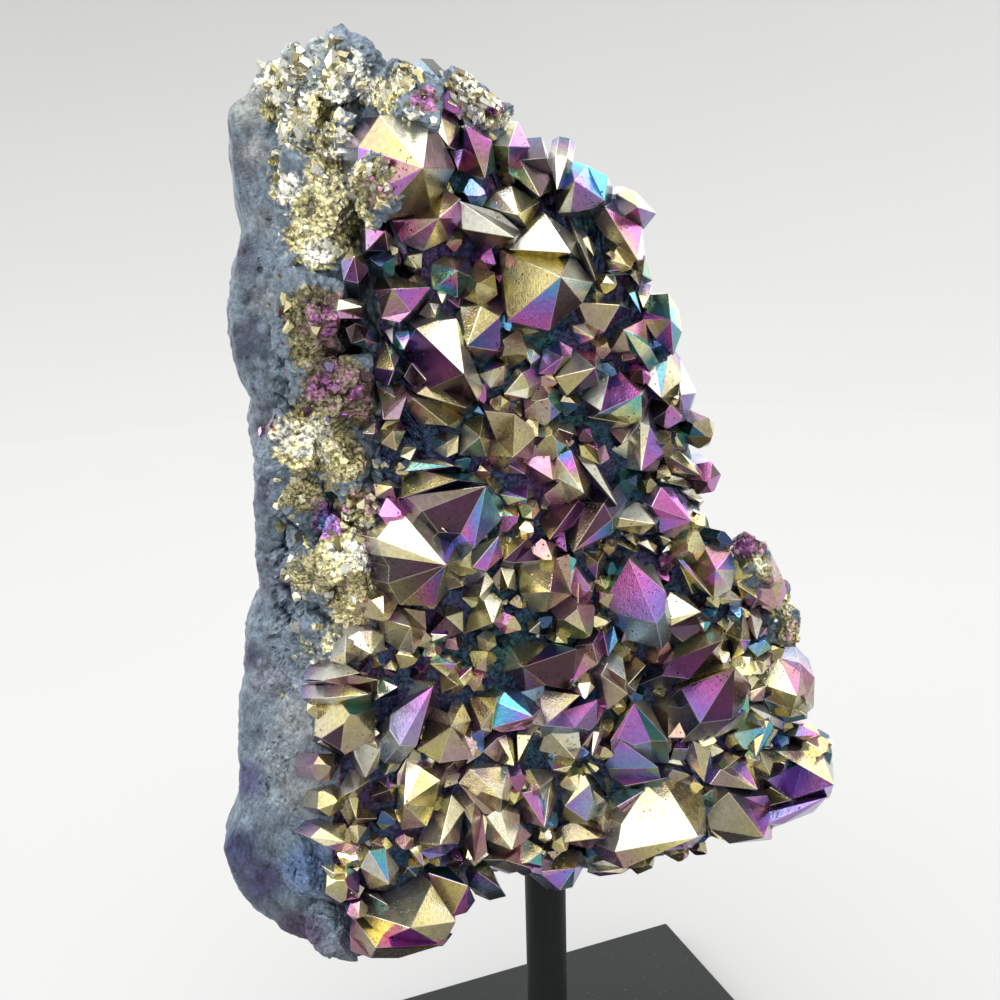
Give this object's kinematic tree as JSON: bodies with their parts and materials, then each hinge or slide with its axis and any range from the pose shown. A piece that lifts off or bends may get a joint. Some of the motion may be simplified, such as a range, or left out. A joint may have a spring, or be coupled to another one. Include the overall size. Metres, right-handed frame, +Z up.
{
  "type": "amethyst cluster on stand",
  "caption": "Slab of rainbow-coated amethyst crystals held upright on a black steel rod and rectangular base plate, for display.",
  "frame": {"origin": "centre of the base plate's underside, on the rod's axis", "axes": "+Z up along the rod, +X along the plate's long side to the right as seen from the crystals' side, -Y the side that the crystals face"},
  "size_m": [0.1415, 0.103, 0.2551],
  "materials": {
    "coated_quartz": "polished",
    "black_paint_rod": "satin",
    "black_paint_plate": "satin"
  },
  "bodies": {
    "root": {"amethyst_cluster": "coated_quartz", "rod": "black_paint_rod", "base_plate": "black_paint_plate"}
  },
  "joints": []
}
